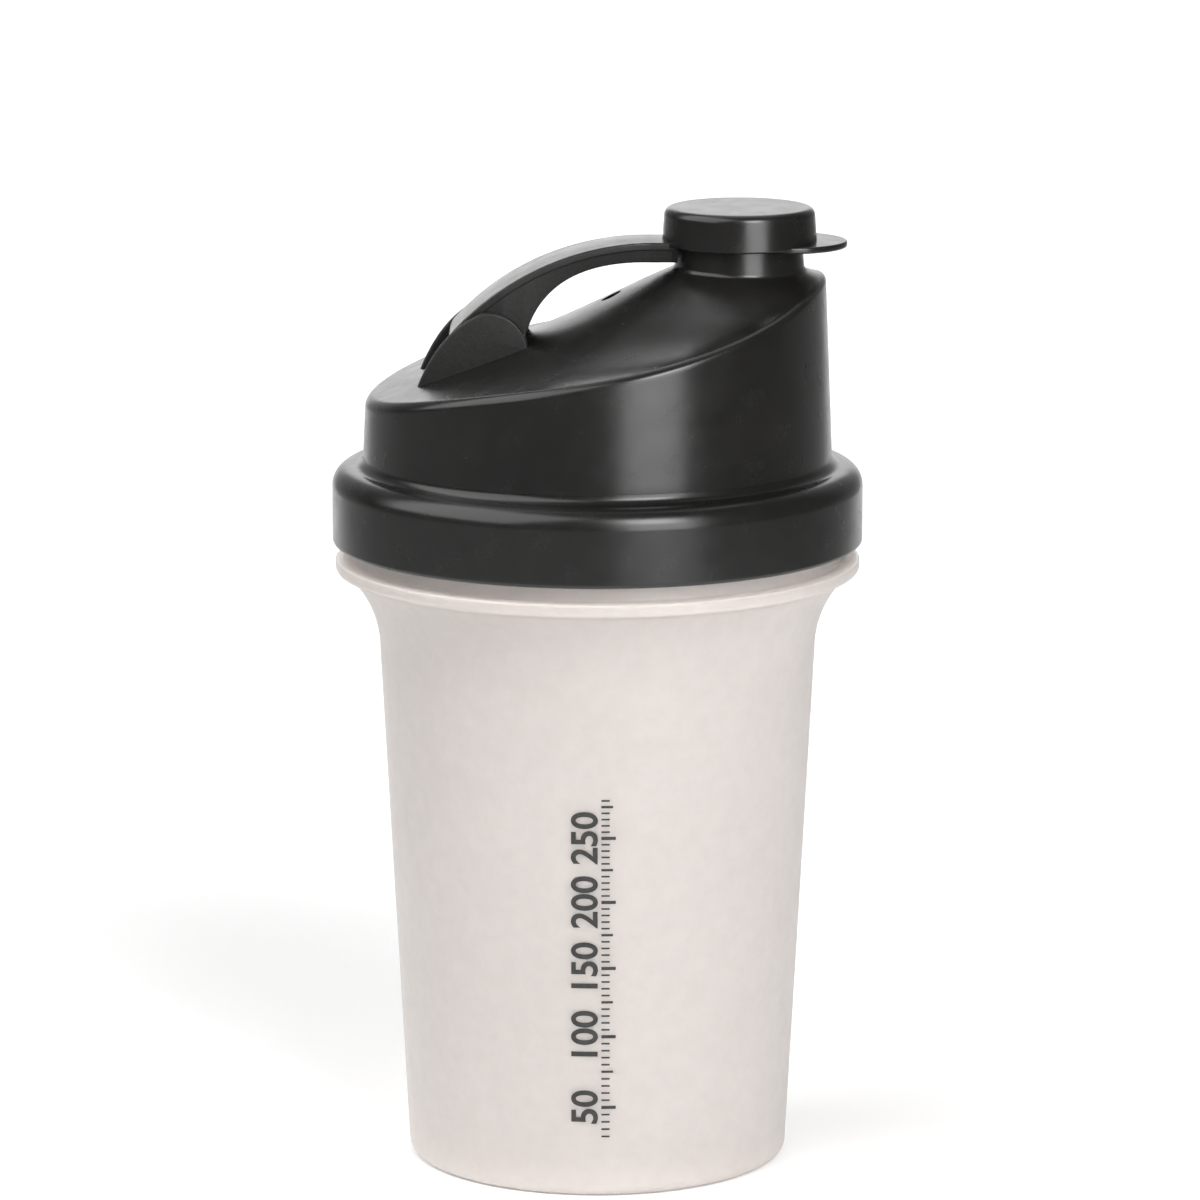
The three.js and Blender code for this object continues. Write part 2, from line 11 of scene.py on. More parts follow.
import bmesh
import bpy
import numpy as np
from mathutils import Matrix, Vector


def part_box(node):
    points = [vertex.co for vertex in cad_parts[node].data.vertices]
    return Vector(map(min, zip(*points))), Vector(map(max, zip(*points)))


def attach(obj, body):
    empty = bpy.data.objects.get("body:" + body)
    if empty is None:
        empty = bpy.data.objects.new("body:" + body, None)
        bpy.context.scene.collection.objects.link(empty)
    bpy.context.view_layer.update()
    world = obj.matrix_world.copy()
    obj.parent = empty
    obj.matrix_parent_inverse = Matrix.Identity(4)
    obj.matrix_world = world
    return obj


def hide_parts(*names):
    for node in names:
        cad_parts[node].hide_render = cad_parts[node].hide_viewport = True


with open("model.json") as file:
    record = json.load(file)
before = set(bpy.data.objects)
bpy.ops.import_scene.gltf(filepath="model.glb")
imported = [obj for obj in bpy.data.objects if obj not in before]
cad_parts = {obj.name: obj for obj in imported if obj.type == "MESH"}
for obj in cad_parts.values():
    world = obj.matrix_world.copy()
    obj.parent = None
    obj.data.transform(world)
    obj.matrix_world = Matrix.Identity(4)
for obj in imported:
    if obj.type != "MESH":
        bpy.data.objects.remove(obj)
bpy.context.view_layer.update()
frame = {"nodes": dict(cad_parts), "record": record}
mm = 0.001


def box_in_mm(node):
    """Lowest and highest corner of a CAD node, in millimetres."""
    low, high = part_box(node)
    return np.array(low) / mm, np.array(high) / mm


cup_high = box_in_mm("cup")[1]
lid_low, lid_high = box_in_mm("lid")
cap_high = box_in_mm("flip_cap")[1]
joint_at = {joint["name"]: joint.get("pos_m") for joint in frame["record"]["behaviour"]["joints"]}
pivot_x, _, pivot_z = np.array(joint_at["cap_flip"]) / mm
print("cup top", cup_high[2], "lid", lid_low[2], "to", lid_high[2], "hinge", pivot_x, pivot_z)

# %% [markdown]
# ## Camera
# A long lens far away keeps the sides of the cup nearly parallel. The camera stands square
# to the printed front and looks down a little, so that the top of the lid shows. It could
# also be aimed with a constraint, but a fixed turn is easier to read.

# %% Camera
camera_back = 1187 * mm
camera_height = 338.4 * mm
camera_down = 11.19  # degrees below the horizon
camera_lens = 197.7
camera_side_shift = 0.0021

camera_data = bpy.data.cameras.new("camera")
camera_data.lens = camera_lens
camera_data.sensor_width = 36
camera_data.shift_x = camera_side_shift
camera_data.clip_end = 50
camera = bpy.data.objects.new("camera", camera_data)
camera.location = (0, -camera_back, camera_height)
camera.rotation_euler = (math.radians(90 - camera_down), 0, 0)
bpy.context.scene.collection.objects.link(camera)
bpy.context.scene.camera = camera

# %% [markdown]
# ## From a grid of points to a closed mesh
# Every piece is a grid: rows run along an outline and columns run round the axis. numpy
# works the whole grid out at once. Two kinds of closed surface are enough here: one that
# shrinks to a point at both ends, and one whose ends are flat faces.

# %% Closed grids


def listed(items, what, kind=float):
    """Three numbers of each item, such as a place or a direction, as one row for each."""
    values = np.zeros(3 * len(items), kind)
    items.foreach_get(what, values)
    return values.reshape(-1, 3)


def placed(name, data):
    """An object of the scene that shows the data."""
    made = bpy.data.objects.new(name, data)
    bpy.context.scene.collection.objects.link(made)
    return made


def signed_volume(mesh):
    """Sum over the triangles of a . (b x c) / 6, which is above 0 if the faces point out."""
    mesh.calc_loop_triangles()
    triangles = listed(mesh.loop_triangles, "vertices", int)
    a, b, c = listed(mesh.vertices, "co")[triangles].transpose(1, 0, 2)
    return float(np.einsum("ij,ij->i", a, np.cross(b, c)).sum() / 6)


def mesh_object(name, points, faces):
    """An object from points in millimetres, with its faces turned outwards."""
    mesh = bpy.data.meshes.new(name)
    mesh.from_pydata((np.asarray(points) * mm).tolist(), [], faces)
    mesh.update()
    if signed_volume(mesh) < 0:
        mesh.flip_normals()
    return placed(name, mesh)


def side_faces(index):
    """Quads between each row of point numbers and the next, closed round the columns."""
    after = np.roll(index, -1, axis=1)
    quads = np.stack([index[:-1], after[:-1], after[1:], index[1:]], axis=-1)
    return quads.reshape(-1, 4).tolist()


def pole_to_pole(name, grid):
    """A closed surface whose first and last rows are each one point."""
    rows, columns = grid.shape[:2]
    index = np.arange((rows - 2) * columns).reshape(rows - 2, columns)
    points = np.concatenate([grid[1:-1].reshape(-1, 3), grid[0, :1], grid[-1, :1]])
    first = index[0]
    last = index[-1]
    start = np.stack([np.full(columns, index.size), np.roll(first, -1), first], axis=-1)
    end = np.stack([np.full(columns, index.size + 1), last, np.roll(last, -1)], axis=-1)
    return mesh_object(name, points, side_faces(index) + start.tolist() + end.tolist())


def end_to_end(name, grid):
    """A closed tube whose first and last rows are closed by one flat face each."""
    rows, columns = grid.shape[:2]
    index = np.arange(rows * columns).reshape(rows, columns)
    ends = [index[0][::-1].tolist(), index[-1].tolist()]
    return mesh_object(name, grid.reshape(-1, 3), side_faces(index) + ends)


# %% [markdown]
# ## Outlines with round corners
# Moulded plastic has no sharp corner, and the thin light lines along the edges of the lid
# come from that. A bevel modifier would round the finished mesh, but it stumbles where
# surfaces cross. So the outline itself is rounded: each corner becomes an arc tangent to
# its two sides. A point close to each end of a straight run keeps the shading flat there.

# %% Rounded outline
hold = 0.12  # distance of a holding point from the end of an arc
arc_step = 9.0  # degrees between two points of an arc, at most
least_turn = 1e-4  # a corner that turns less than this stays a point


def rounded(corners):
    """Outline through (x, y, radius) corners. With a turn t at a corner, the arc starts and
    ends radius * tan(t / 2) away from it, and its centre lies on the bisector."""
    corners = [np.array(corner, float) for corner in corners]
    outline = [corners[0][None, :2]]
    for previous, corner, following in zip(corners, corners[1:], corners[2:]):
        here = corner[:2]
        before = previous[:2] - here
        after = following[:2] - here
        before /= np.linalg.norm(before)
        after /= np.linalg.norm(after)
        turn = math.pi - math.acos(np.clip(before @ after, -1, 1))
        if corner[2] <= 0 or turn < least_turn:
            outline.append(here[None])
            continue
        reach = corner[2] * math.tan(turn / 2)
        bisector = (before + after) / np.linalg.norm(before + after)
        centre = here + bisector * corner[2] / math.cos(turn / 2)
        steps = max(3, math.ceil(math.degrees(turn) / arc_step))
        start = here + before * reach - centre
        end = here + after * reach - centre
        share = np.linspace(0, 1, steps + 1)[:, None] * turn
        arc = (np.sin(turn - share) * start + np.sin(share) * end) / math.sin(turn)
        outline.append((here + before * (reach + hold))[None])
        outline.append(centre + arc)
        outline.append((here + after * (reach + hold))[None])
    outline.append(corners[-1][None, :2])
    return np.concatenate(outline)


def angles(columns):
    """Angles of the columns round the axis, in one row."""
    return np.linspace(0, 2 * math.pi, columns, endpoint=False)[None, :]


def around(radius, height, columns, centre_x=0.0):
    """Points of a surface of revolution: radius and height are rows, or rows by columns."""
    angle = angles(columns)
    radius = np.broadcast_to(radius, np.broadcast_shapes(radius.shape, angle.shape))
    height = np.broadcast_to(height, radius.shape)
    x = centre_x + radius * np.cos(angle)
    return np.stack([x, radius * np.sin(angle), height], axis=-1)


def turned(name, corners, columns=192, centre_x=0.0):
    """A turned piece: a rounded (radius, height) outline from axis to axis."""
    outline = rounded(corners)
    return pole_to_pole(name, around(outline[:, :1], outline[:, 1:], columns, centre_x))


# %% [markdown]
# ## Joining and cutting
# The spout, the ears and the arm grow out of other surfaces. A mould maker cuts one shape
# into another, and a boolean does the same here. The inputs are closed and fine, so the
# crossing lines come out clean. The result is applied, and each edge that turns by more
# than a set angle is marked sharp.

# %% Booleans and shading
sharp_angle = math.radians(32)


def as_seen(piece):
    """The mesh of an object with its modifiers applied."""
    graph = bpy.context.evaluated_depsgraph_get()
    return bpy.data.meshes.new_from_object(piece.evaluated_get(graph))


def combined(base, other, operation):
    """Base with another closed object joined to it or cut from it. The other is used up."""
    cut = base.modifiers.new(operation, "BOOLEAN")
    cut.operation = operation
    cut.solver = "MANIFOLD"
    cut.object = other
    result = as_seen(base)
    base.modifiers.clear()
    old = base.data
    base.data = result
    result.name = base.name
    bpy.data.meshes.remove(old)
    bpy.data.objects.remove(other)
    return base


def finished(piece, body, node=None):
    """Smooth shading, sharp edges, the body of a piece, and its CAD node hidden."""
    mesh = piece.data
    mesh.polygons.foreach_set("use_smooth", np.ones(len(mesh.polygons), bool))
    mesh.set_sharp_from_angle(angle=sharp_angle)
    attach(piece, body)
    if node:
        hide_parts(node)
    mesh.calc_loop_triangles()
    volume = round(signed_volume(mesh) / mm**3)
    print(piece.name, len(mesh.loop_triangles), "triangles", volume, "mm3")
    return piece


# %% [markdown]
# ## Screw thread
# The cup's neck carries a raised helix and the lid's skirt carries another just under it.
# A separate swept ridge could be joined on. A displacement is simpler: the wall moves out
# where a point lies within half a ridge of the helix.

# %% Thread
thread_pitch = 5.0
thread_depth = 1.3
ridge_root = 2.2
ridge_crest = 1.0
ridge_fade = math.radians(30)  # turn over which an end of the ridge dies away
thread_below_rim = 2.2
thread_above_edge = 1.6


def ridge(angle, height, start_height, start_angle, turn):
    """How far the wall stands out, from 0 to the thread's depth. The distance from the helix
    along the axis falls from root to crest, and the ends fade in and out."""
    turned_by = np.mod(angle - start_angle, 2 * math.pi)
    stands_out = np.zeros(np.broadcast_shapes(angle.shape, height.shape))
    for lap in range(math.ceil(turn / (2 * math.pi))):
        along = turned_by + 2 * math.pi * lap
        centre = start_height + thread_pitch * along / (2 * math.pi)
        flank = (ridge_root / 2 - np.abs(height - centre)) / ((ridge_root - ridge_crest) / 2)
        fade = np.minimum(along, turn - along) / ridge_fade
        share = np.clip(flank, 0, 1) * np.clip(fade, 0, 1)
        stands_out = np.maximum(stands_out, share * share * (3 - 2 * share))
    return thread_depth * stands_out


# %% [markdown]
# ## Cup
# The beaker is one thin moulding: a foot ring with a raised middle, a body that widens a
# little, a flare, a stop flange and a threaded neck. It could be a solid with a Solidify
# wall, but the inside has shapes of its own, so one outline runs up the outside, over the
# rim and down the inside.

# %% Cup outline
base_radius = 34.8
base_corner = 2.0
foot_ring = 7.0
foot_recess = 1.0
wall = 1.6
floor_thickness = 2.0
taper = 0.0535  # radius gained for each millimetre of height
flare_height = 14.7
flange_low = 109.6
flange_top = 112.0
flange_lip = 1.8
neck_radius = 45.0
neck_inner = 43.2
rim_z = cup_high[2]
flange_radius = cup_high[0]
cup_columns = 288
neck_steps = 56

flare_start = flange_low - flare_height
floor_z = foot_recess + floor_thickness


def body_radius(z):
    """Outer radius of the cup's straight body, which grows evenly with height."""
    return base_radius + taper * z


def flare(offset, steps):
    """The flare's arc: it leaves the body upright and bends out to the flange's lip.
    Offset moves it inwards, for the inside of the wall."""
    width = flange_radius - flange_lip - body_radius(flare_start)
    radius = (flare_height**2 + width**2) / (2 * width)
    turn = math.asin(flare_height / radius)
    angle = np.linspace(0, turn, steps)
    r = body_radius(flare_start) + radius - (radius + offset) * np.cos(angle)
    return np.stack([r, flare_start + (radius + offset) * np.sin(angle)], axis=-1)


recess_radius = base_radius - base_corner - foot_ring
foot = rounded([
    (0, foot_recess, 0),
    (recess_radius - foot_recess, foot_recess, 0.5),
    (recess_radius, 0, 0.5),
    (base_radius, 0, base_corner),
    (body_radius(flare_start * 0.5), flare_start * 0.5, 0),
])
body_rows = np.linspace(0.52, 0.985, 10)[:, None] * flare_start
body = np.concatenate([body_radius(body_rows), body_rows], axis=1)
shoulder = rounded([
    (flange_radius - flange_lip - 0.1, flange_low - 0.1, 0),
    (flange_radius - flange_lip + 0.1, flange_low, 0.2),
    (flange_radius, flange_low, 1.0),
    (flange_radius, flange_top, 0.5),
    (neck_radius, flange_top, 0.5),
    (neck_radius, flange_top + 1.0, 0),
])
neck_rows = np.linspace(flange_top + 1.1, rim_z - 0.8, neck_steps)[:, None]
neck = np.concatenate([np.full_like(neck_rows, neck_radius), neck_rows], axis=1)
rim = rounded([
    (neck_radius, rim_z - 0.75, 0),
    (neck_radius, rim_z, 0.6),
    (neck_inner, rim_z, 0.6),
    (neck_inner, flange_top - 2.0, 0),
])
inner_flare = flare(wall, 26)[::-1]
inner_flare = inner_flare[inner_flare[:, 0] < neck_inner - 0.1]
inner_body = np.concatenate([body_radius(body_rows) - wall, body_rows], axis=1)[::-1]
bowl = rounded([
    (body_radius(flare_start * 0.45) - wall, flare_start * 0.45, 0),
    (body_radius(floor_z) - wall, floor_z, base_corner + wall),
    (0, floor_z, 0),
])
cup_outside = [foot, body, flare(0, 24), shoulder, neck, rim]
cup_inside = [inner_flare, inner_body, bowl]
cup_outline = np.concatenate(cup_outside + cup_inside)
print("cup outline", len(cup_outline), "points")

# %% Cup surface
cup_thread_turn = math.radians(480)
cup_thread_z = rim_z - thread_below_rim - thread_pitch * cup_thread_turn / (2 * math.pi)


def cup_surface():
    """The outline turned about the axis, with the thread's ridge added to the neck."""
    angle = angles(cup_columns)
    radius = np.repeat(cup_outline[:, :1], cup_columns, axis=1)
    height = cup_outline[:, 1:]
    on_neck = (np.abs(cup_outline[:, :1] - neck_radius) < 1e-6) & (height > flange_top + 1.0)
    radius += on_neck * ridge(angle, height, cup_thread_z, 0.0, cup_thread_turn)
    return around(radius, height, cup_columns)


cup = pole_to_pole("beaker", cup_surface())
finished(cup, "cup", "cup")

# %% [markdown]
# ## Dome
# The lid's top is a dome that leans: its rim is low at the hinge and climbs towards the
# spout, and between the two sides it swells into a crest. Sculpting it would work, but a
# formula keeps every edge loop on the shape. The dome is drawn on a unit disc, where u runs
# from -1 at the hinge to 1 at the spout.

# %% Dome formula
collar_radius = lid_high[0]
collar_low = lid_low[2]
collar_height = 14.1
collar_top = collar_low + collar_height
collar_fillet = 3.65
collar_edge = 0.7
dome_radius = 42.85
dome_foot_fillet = 1.85
dome_draft = 0.036
rim_fillet = 1.6
rim_low = 12.4
rim_high = 35.4
rim_curve = (0.405, 0.32, 0.095, 0.18)  # cubic in u that shares out the rim's rise
crest_bulge = 7.96
crest_skew = 1.69  # how much the crest grows towards the spout
lid_wall = 1.8
lid_columns = 320


def dome_height(rho, angle):
    """Height over the collar at (rho, angle) of the unit disc: a cubic in u for the rim, and
    a bulge that falls from the crest to the rim as a cosine across the dome."""
    u = rho * np.cos(angle)
    chord = np.sqrt(np.maximum(1 - u * u, 1e-9))
    across = np.minimum(rho * np.abs(np.sin(angle)) / chord, 1)
    rim = sum(coefficient * u**power for power, coefficient in enumerate(rim_curve))
    crest = crest_bulge * chord**3 * np.exp(crest_skew * u)
    bulge = crest * (1 + np.cos(math.pi * across)) / 2
    return rim_low + (rim_high - rim_low) * rim + bulge


def dome_edge(angle):
    """Radius of the dome's rim, which leans in with height."""
    return dome_radius - dome_draft * dome_height(1.0, angle)


def dome_z(x, y):
    """Height of the dome's top over the table at a point in plan."""
    angle = np.arctan2(y, x)
    rho = np.minimum(np.hypot(x, y) / dome_edge(angle), 1)
    return collar_top + dome_height(rho, angle)


# %% Dome rows
top_rows = 72
fillet_rows = 10
wall_rows = 14
fillet_gap = 0.15  # from the last row of the top to the first of the fillet


def dome_rows(inset, fillet, foot_z, foot_radius):
    """Radius and height of the dome's rows for every column: the top out to the rim, the
    rim's round edge, and the wall down to its foot. Inset shrinks the whole dome."""
    angle = angles(lid_columns)
    edge = dome_edge(angle) - inset
    rho = np.linspace(0, 1, top_rows)[:, None] * (1 - (fillet + fillet_gap) / dome_radius)
    bend = np.linspace(0, math.pi / 2, fillet_rows)[:, None]
    rho_round = 1 - fillet * (1 - np.sin(bend)) / dome_radius
    radius = [rho * edge, rho_round * edge]
    sunk = fillet * (1 - np.cos(bend))
    height = [dome_height(rho, angle), dome_height(rho_round, angle) - sunk]
    height = [collar_top + rise - inset for rise in height]
    share = np.linspace(0.01, 1, wall_rows)[:, None]
    radius.append(edge + (foot_radius - edge) * share)
    height.append(height[-1][-1:] + (foot_z - height[-1][-1:]) * share)
    return np.concatenate(radius), np.concatenate(height)


# %% [markdown]
# ## Lid
# The lid is one moulding, so it is made as a mould makes it: the outside first, then the
# hollow cut out of it. The outside is the dome, a small round foot, a flat-sided collar
# and its round shoulder. The hollow holds the inner dome, the sealing ring with its groove
# for the strainer, and the skirt with its thread.

# %% Lid outside and hollow
skirt_wall = 1.8
seal_outer = 42.9
seal_inner = 41.5
seal_depth = 6.0
groove_depth = 0.6
groove_below = 3.8
hollow_fillet = 0.6
skirt_steps = 52
skirt_inner = collar_radius - skirt_wall
plate_z = collar_top - lid_wall
lid_thread_turn = math.radians(360)
lid_thread_z = collar_low + thread_above_edge
ridge_gap = 0.3  # between the flanks of the two ridges
ridge_offset = (ridge_root + ridge_crest) / 2 + ridge_gap
lid_thread_angle = (lid_thread_z + ridge_offset - cup_thread_z) * 2 * math.pi / thread_pitch


def lid_outside():
    """Rows of the dome, then the collar's outline, down to the middle of its underside."""
    foot_z = collar_top + dome_foot_fillet
    radius, height = dome_rows(0.0, rim_fillet, foot_z + hold, dome_radius)
    collar = rounded([
        (dome_radius, foot_z, 0),
        (dome_radius, collar_top, dome_foot_fillet * 0.94),
        (collar_radius, collar_top, collar_fillet),
        (collar_radius, collar_low, collar_edge),
        (0, collar_low, 0),
    ])
    ones = np.ones((1, lid_columns))
    radius = np.concatenate([radius, collar[1:, :1] * ones])
    height = np.concatenate([height, collar[1:, 1:] * ones])
    return pole_to_pole("lid_shell", around(radius, height, lid_columns))


def lid_hollow():
    """Rows of the inner dome, the sealing ring and the skirt, closed below the collar."""
    radius, height = dome_rows(lid_wall, hollow_fillet, plate_z + 0.4, dome_radius - lid_wall)
    groove_z = plate_z - groove_below
    ring_end = plate_z - seal_depth
    ring = rounded([
        (dome_radius - lid_wall, plate_z + 0.3, 0),
        (seal_inner, plate_z - 0.4, 0),
        (seal_inner, groove_z + groove_depth + 0.3, 0.2),
        (seal_inner + groove_depth, groove_z, 0.3),
        (seal_inner, groove_z - groove_depth - 0.3, 0.2),
        (seal_inner, ring_end, 0.5),
        (seal_outer, ring_end, 0.5),
        (seal_outer, plate_z, 0.3),
        (skirt_inner, plate_z, 0.5),
        (skirt_inner, plate_z - 1.0, 0),
    ])
    skirt_rows = np.linspace(plate_z - 1.05, collar_low + 0.6, skirt_steps)[:, None]
    skirt = np.concatenate([np.full_like(skirt_rows, skirt_inner), skirt_rows], axis=1)
    mouth = rounded([
        (skirt_inner, collar_low + 0.5, 0),
        (skirt_inner + 0.4, collar_low, 0),
        (skirt_inner + 0.4, collar_low - 1.0, 0),
        (0, collar_low - 1.0, 0),
    ])
    outline = np.concatenate([ring, skirt, mouth])
    angle = angles(lid_columns)
    thread = ridge(angle, outline[:, 1:], lid_thread_z, lid_thread_angle, lid_thread_turn)
    on_skirt = np.abs(outline[:, :1] - skirt_inner) < 1e-6
    radius = np.concatenate([radius, outline[:, :1] - on_skirt * thread])
    height = np.concatenate([height, outline[:, 1:] * np.ones((1, lid_columns))])
    return pole_to_pole("hollow", around(radius, height, lid_columns))


# %% [markdown]
# ## Spout
# A round tube stands on the dome near its high side. Its foot follows the dome, and a small
# round fillet blends the two. Bevelling the crossing line would be the usual way, but here
# each column of the spout simply starts on the dome's own surface.

# %% Spout
spout_x = 25.8
spout_bore = 9.3
spout_top_radius = 11.2
spout_foot_radius = 11.8
spout_lip = 0.9
spout_fillet = 0.7
spout_top = lid_high[2]
spout_columns = 144
spout_buried = 12.0  # how far the tube starts under the dome
seated = 0.04  # how far the fillet's edge sinks into the dome


def spout_outside():
    """Rows of the foot's fillet, whose height is the dome's under each point plus the
    fillet's own rise, then the wall and the lip."""
    angle = angles(spout_columns)
    bend = np.linspace(0, math.pi / 2, 8)[:, None]
    radius = spout_foot_radius + spout_fillet * (1 - np.sin(bend)) * np.ones_like(angle)
    x = spout_x + radius * np.cos(angle)
    y = radius * np.sin(angle)
    height = dome_z(x, y) + spout_fillet * (1 - np.cos(bend)) - seated
    lip = rounded([
        (spout_top_radius + 0.05, spout_top - 2.0, 0),
        (spout_top_radius, spout_top, spout_lip),
        (0, spout_top, 0),
    ])
    ones = np.ones_like(angle)
    buried_radius = np.array([[0.0], [spout_foot_radius - 1.0]]) * ones
    buried_height = np.full_like(buried_radius, dome_z(spout_x, 0.0) - spout_buried)
    radius = np.concatenate([buried_radius, radius, lip[:, :1] * ones])
    height = np.concatenate([buried_height, height, lip[:, 1:] * ones])
    return pole_to_pole("spout", around(radius, height, spout_columns, spout_x))


def upright_cylinder(name, radius, x, low, high):
    """A plain round cutter, used only to take material away."""
    outline = [(0, low, 0), (radius, low, 0), (radius, high, 0), (0, high, 0)]
    return turned(name, outline, spout_columns, x)


# %% [markdown]
# ## Hinge ears
# Two flat ears carry the arm's trunnions. Each one has a round front, a curved back edge and
# softly rounded sides. An extruded curve with a bevel would give the same. The rows here
# go from the middle of one side, out to its edge, round it, and back to the other middle.

# %% Ear
ear_inner = 9.0
ear_outer = 11.0
ear_round = 0.45
ear_arc_radius = 7.2
ear_arc_centre = np.array([pivot_x + 4.1, pivot_z - 1.3])
ear_arc_end = math.radians(100.4)  # where the round front meets the back edge
ear_back = np.array([pivot_x - 8.8, pivot_z - 7.6])
ear_bend = np.array([pivot_x - 4.8, pivot_z + 2.5])


def ear_outline():
    """In x and z: up the front, an arc over the top, and a quadratic curve down the back."""
    foot_z = collar_top + rim_low
    arc = np.linspace(0, ear_arc_end, 26)[:, None]
    over = ear_arc_centre + ear_arc_radius * np.concatenate([np.cos(arc), np.sin(arc)], axis=1)
    t = np.linspace(0, 1, 22)[1:, None]
    back = (1 - t) ** 2 * over[-1] + 2 * t * (1 - t) * ear_bend + t**2 * ear_back
    front_low = np.array([[over[0, 0], foot_z], [over[0, 0], over[0, 1] - 0.3]])
    back_low = np.array([[ear_back[0], ear_back[1] - 0.3], [ear_back[0], foot_z]])
    return np.concatenate([front_low, over, back, back_low])


def rounded_plate(name, outline, y_low, y_high, edge):
    """A flat plate with a round edge. At each step of the round, the outline moves in along
    its normals by edge * (1 - cos a) and across by edge * (1 - sin a)."""
    ahead = np.roll(outline, -1, axis=0) - outline
    behind = outline - np.roll(outline, 1, axis=0)
    ahead /= np.linalg.norm(ahead, axis=1)[:, None]
    behind /= np.linalg.norm(behind, axis=1)[:, None]
    tangent = ahead + behind
    tangent /= np.linalg.norm(tangent, axis=1)[:, None]
    inward = np.stack([-tangent[:, 1], tangent[:, 0]], axis=1)
    bend = np.linspace(0, math.pi / 2, 6)
    shift = edge * (1 - np.sin(bend))
    across = edge * (1 - np.cos(bend))
    y = np.concatenate([y_low + across, y_high - across[::-1]])
    shift = np.concatenate([shift, shift[::-1]])
    loops = outline[None] + inward[None] * shift[:, None, None]
    middle = outline.mean(axis=0)
    loops = np.concatenate([np.broadcast_to(middle, loops[:1].shape), loops,
                            np.broadcast_to(middle, loops[:1].shape)])
    y = np.concatenate([[y_low], y, [y_high]])[:, None] * np.ones(len(outline))
    return pole_to_pole(name, np.stack([loops[..., 0], y, loops[..., 1]], axis=-1))


# %% Lid put together
vent_x = 2.5
vent_radius = 1.8
socket_radius = 1.8
socket_end = 10.5
inner_foot = plate_z + 6.0  # low end of the upright cutters, inside the hollow
bore_flare = 0.8
past_lip = 1.0


def across_cylinder(name, radius, half_length, edge=0.0):
    """A cylinder along y through the hinge axis, with rounded ends."""
    outline = rounded([(0, -half_length, 0), (radius, -half_length, edge),
                       (radius, half_length, edge), (0, half_length, 0)])
    grid = around(outline[:, :1], outline[:, 1:], 72)
    grid = np.stack([pivot_x + grid[..., 0], grid[..., 2], pivot_z + grid[..., 1]], axis=-1)
    return pole_to_pole(name, grid)


lid = lid_outside()
lid = combined(lid, spout_outside(), "UNION")
for side in (-1, 1):
    low, high = sorted((side * ear_inner, side * ear_outer))
    lid = combined(lid, rounded_plate("ear", ear_outline(), low, high, ear_round), "UNION")
lid = combined(lid, lid_hollow(), "DIFFERENCE")
bore = turned("bore", [
    (0, inner_foot, 0),
    (spout_bore, inner_foot, 0),
    (spout_bore, spout_top, 0.5),
    (spout_bore + bore_flare, spout_top + past_lip, 0),
    (0, spout_top + past_lip, 0),
], spout_columns, spout_x)
lid = combined(lid, bore, "DIFFERENCE")
vent = upright_cylinder("vent", vent_radius, vent_x, inner_foot, spout_top)
lid = combined(lid, vent, "DIFFERENCE")
lid = combined(lid, across_cylinder("sockets", socket_radius, socket_end), "DIFFERENCE")
finished(lid, "lid", "lid")

# %% [markdown]
# ## Flip cap
# The cap is a short lid over the spout with a sealing plug inside, a round pull tab under
# its front edge, and an arm that arches back to the hinge. It is one moulding on the real
# cup, so the parts are joined into one mesh.

# %% Cap and tab
cap_inner = 12.4
cap_bottom_radius = 14.1
cap_top_radius = 13.7
cap_roof = 1.8
cap_height = 6.8
cap_top = cap_high[2]
cap_ceiling = cap_top - cap_roof
cap_bottom = cap_top - cap_height
plug_root = 8.9
plug_tip = 8.3
plug_wall = 1.3
plug_low = cap_ceiling - 3.1
tab_radius = 10.8
tab_x = spout_x + 8.8
tab_low = cap_bottom - 0.5
tab_high = tab_low + 1.2

cap_shell = [
    (0, cap_top, 0),
    (cap_top_radius - 0.05, cap_top, 1.5),
    (cap_bottom_radius, cap_bottom, 0.35),
    (cap_inner, cap_bottom, 0.3),
    (cap_inner, cap_ceiling, 0.5),
    (plug_root, cap_ceiling, 0.3),
    (plug_tip, plug_low, 0.35),
    (plug_tip - plug_wall, plug_low, 0.35),
    (plug_root - plug_wall, cap_ceiling, 0.3),
    (0, cap_ceiling, 0),
]
tab_outline = [
    (0, tab_low, 0),
    (tab_radius, tab_low, 0.4),
    (tab_radius, tab_high, 0.4),
    (0, tab_high, 0),
]

# %% [markdown]
# ## Arm
# In side view the arm's top is level next to the cap and then one arc that ends tangent to
# the hinge barrel. Its section is an upside-down U: a plate with two thin webs under it,
# which keeps the moulding light and stiff. The section is carried along x, and each of its
# corners is a small arc, so every station has the same number of points.

# %% Arm sections
barrel_radius = 3.3
barrel_end = 8.7
arm_over_edge = 0.9  # top of the arm over the cap's open edge
arm_level_run = 5.1  # level stretch of the top, back from the spout
arm_top = cap_bottom + arm_over_edge
arm_arch_x = spout_x - spout_top_radius - arm_level_run
arm_joint_x = spout_x - 10.6  # the webs meet the cap's skirt on both sides of the spout
arm_depth = 3.7
arm_half_at_cap = 5.8
arm_half_at_hinge = 8.68
arm_wide_x = pivot_x + 6.7
arm_plate = 1.4
arm_overhang = 0.6
arm_web = 1.5
arm_crown = 0.18
arm_bend_x = pivot_x + 14.3  # control point of the webs' underside
arm_bend_rise = 0.7
foot_x = pivot_x + 10.7
foot_z = pivot_z + 0.9
run = arm_arch_x - pivot_x
drop = arm_top - pivot_z
arch_radius = (run**2 + drop**2 - barrel_radius**2) / (2 * (drop - barrel_radius))
arch_centre = np.array([arm_arch_x, arm_top - arch_radius])
arch_end = math.atan2(pivot_z - arch_centre[1], pivot_x - arch_centre[0])


